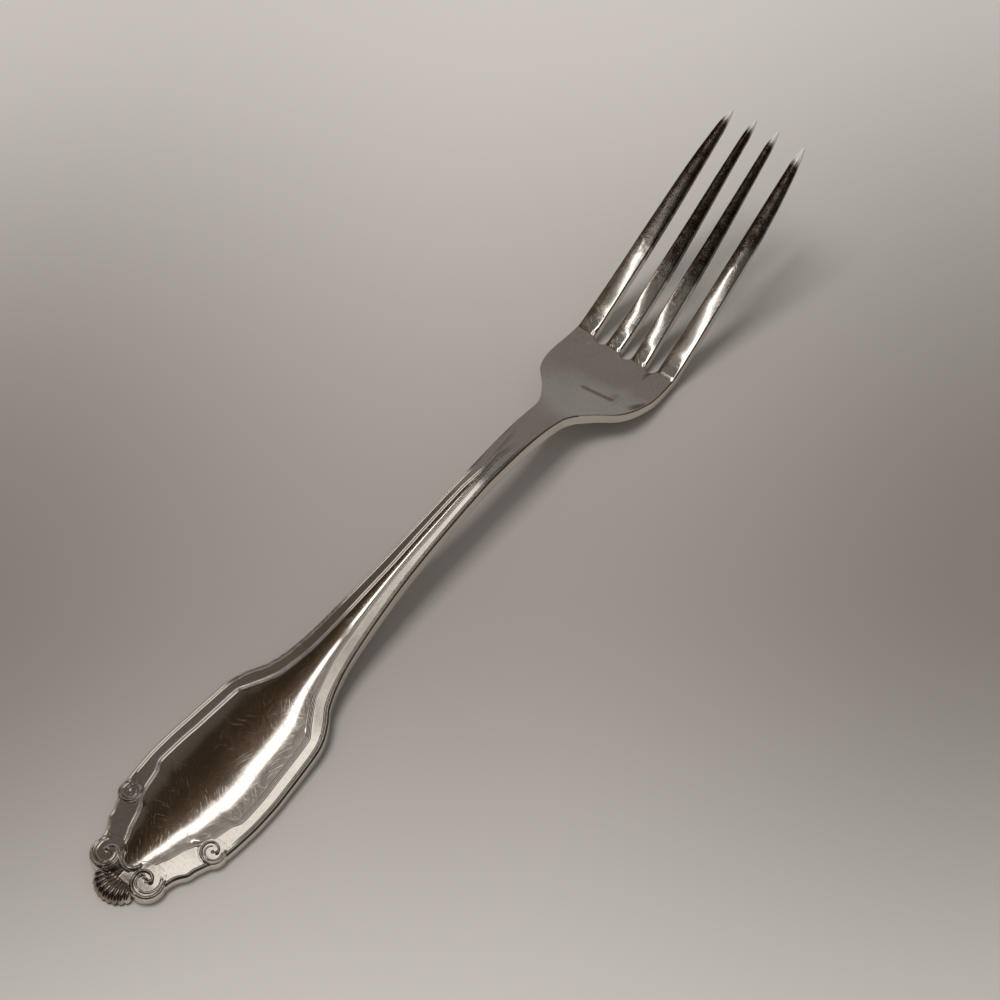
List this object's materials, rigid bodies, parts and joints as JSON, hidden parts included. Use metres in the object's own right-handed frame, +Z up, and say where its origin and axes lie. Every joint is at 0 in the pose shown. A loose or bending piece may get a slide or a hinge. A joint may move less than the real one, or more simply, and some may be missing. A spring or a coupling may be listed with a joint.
{
  "type": "dinner fork",
  "caption": "Table fork in polished metal with an arched stem, a dished head with slots between its tines, and a thread, scroll and fan shell border on the handle.",
  "frame": {"origin": "centre of the bounding box, on the surface that the fork rests on", "axes": "+X from the handle's end to the tine tips, +Y to the fork's left seen from above with the tines pointing away, +Z up"},
  "size_m": [0.2, 0.0264, 0.0298],
  "materials": {
    "polished_metal": "polished, with fine scratches and a warm tone",
    "tine_metal": "polished, spotted and worn towards the tips",
    "ornament_metal": "polished relief, darker in its furrows"
  },
  "bodies": {
    "root": {"handle_blade": "polished_metal", "stem": "polished_metal", "neck": "polished_metal", "palm": "polished_metal", "tine_outer_left": "tine_metal", "tine_inner_left": "tine_metal", "tine_inner_right": "tine_metal", "tine_outer_right": "tine_metal", "end_shell": "ornament_metal", "end_scroll_left": "ornament_metal", "end_scroll_right": "ornament_metal", "side_scroll_left": "ornament_metal", "side_scroll_right": "ornament_metal"}
  },
  "joints": []
}
